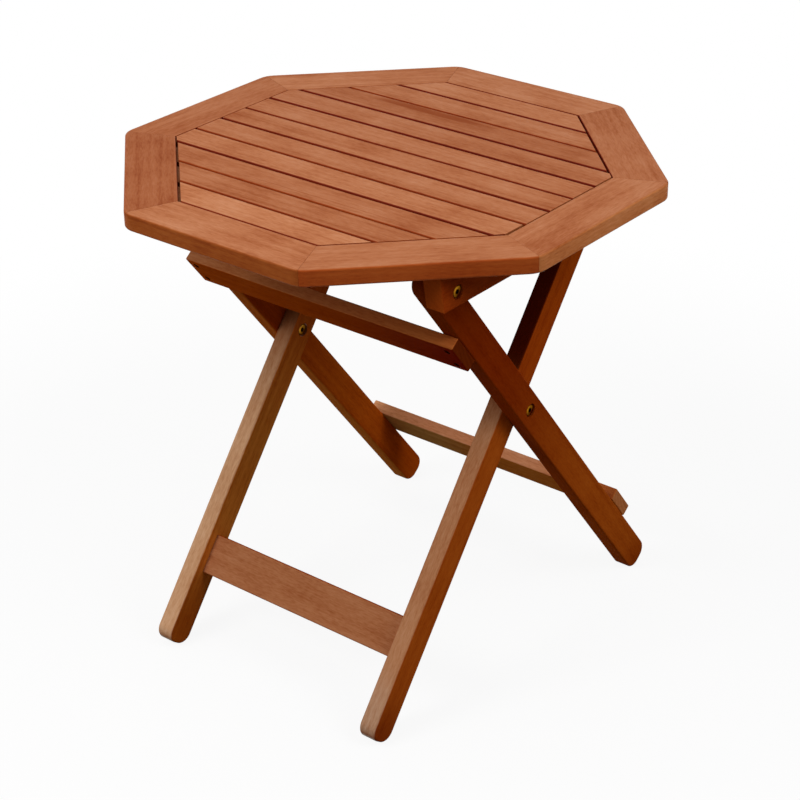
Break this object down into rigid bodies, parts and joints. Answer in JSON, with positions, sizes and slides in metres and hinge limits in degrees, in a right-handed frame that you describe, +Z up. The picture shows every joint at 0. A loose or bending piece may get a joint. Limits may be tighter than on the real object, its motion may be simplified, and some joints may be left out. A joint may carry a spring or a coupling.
{
  "type": "folding bistro table",
  "caption": "Folding octagonal bistro table: a slatted hardwood top in a mitred rim, on crossed leg frames that scissor shut on bolts while the top tilts up.",
  "frame": {"origin": "on the floor, under the centre of the octagonal top", "axes": "+X along the slats and the pivot axes, to the right; +Y from the front side to the back; +Z up"},
  "size_m": [0.7, 0.7, 0.711],
  "materials": {
    "top_timber": "oiled reddish-brown hardwood, satin, grain along each board",
    "frame_timber": "oiled reddish-brown hardwood, satin, grain along each leg and rail",
    "batten_timber": "oiled reddish-brown hardwood, satin",
    "dowel_timber": "plain unfinished hardwood",
    "aged_brass": "brass-plated, slightly tarnished",
    "screw_steel": "yellow-passivated steel, dull"
  },
  "bodies": {
    "outer_leg_frame": {"outer_leg_left": "frame_timber", "outer_leg_right": "frame_timber", "upper_rail": "frame_timber", "lower_rail": "frame_timber", "upper_rail_screws": "screw_steel", "lower_rail_screws": "screw_steel", "crossing_bolts": "aged_brass", "crossing_nuts": "aged_brass", "crossing_washers": "screw_steel"},
    "inner_leg_frame": {"inner_leg_left": "frame_timber", "inner_leg_right": "frame_timber", "stretcher": "frame_timber", "stretcher_dowels": "dowel_timber", "top_rod": "frame_timber"},
    "top_pivot": {"pivot_bolts": "aged_brass", "pivot_nuts": "aged_brass", "pivot_washers": "screw_steel"},
    "table_top": {"rim_board_front": "top_timber", "rim_board_front_right": "top_timber", "rim_board_right": "top_timber", "rim_board_back_right": "top_timber", "rim_board_back": "top_timber", "rim_board_back_left": "top_timber", "rim_board_left": "top_timber", "rim_board_front_left": "top_timber", "slat_01": "top_timber", "slat_02": "top_timber", "slat_03": "top_timber", "slat_04": "top_timber", "slat_05": "top_timber", "slat_06": "top_timber", "slat_07": "top_timber", "slat_08": "top_timber", "slat_09": "top_timber", "slat_10": "top_timber", "slat_11": "top_timber", "cleat_left": "batten_timber", "cleat_right": "batten_timber", "bearer_left": "batten_timber", "bearer_right": "batten_timber", "stop_block_left": "batten_timber", "stop_block_right": "batten_timber", "cleat_screws": "screw_steel", "bearer_screws": "screw_steel", "stop_block_screws": "screw_steel", "mitre_dowels": "dowel_timber", "slat_dowels": "dowel_timber"}
  },
  "joints": [
    {"name": "leg_fold", "type": "hinge", "parent": "outer_leg_frame", "child": "inner_leg_frame", "pos_m": [0, 0.0124, 0.39494], "axis": [1, 0, 0], "range_deg": [0, 75]},
    {"name": "top_follow", "type": "hinge", "parent": "outer_leg_frame", "child": "top_pivot", "pos_m": [0, -0.18787, 0.655], "axis": [1, 0, 0], "range_deg": [0, 37.5]},
    {"name": "top_lift", "type": "hinge", "parent": "top_pivot", "child": "table_top", "pos_m": [0, -0.18787, 0.655], "axis": [1, 0, 0], "range_deg": [0, 84]}
  ],
  "couplings": [
    {"joint": "top_follow", "follows": "leg_fold", "ratio": 0.5}
  ]
}
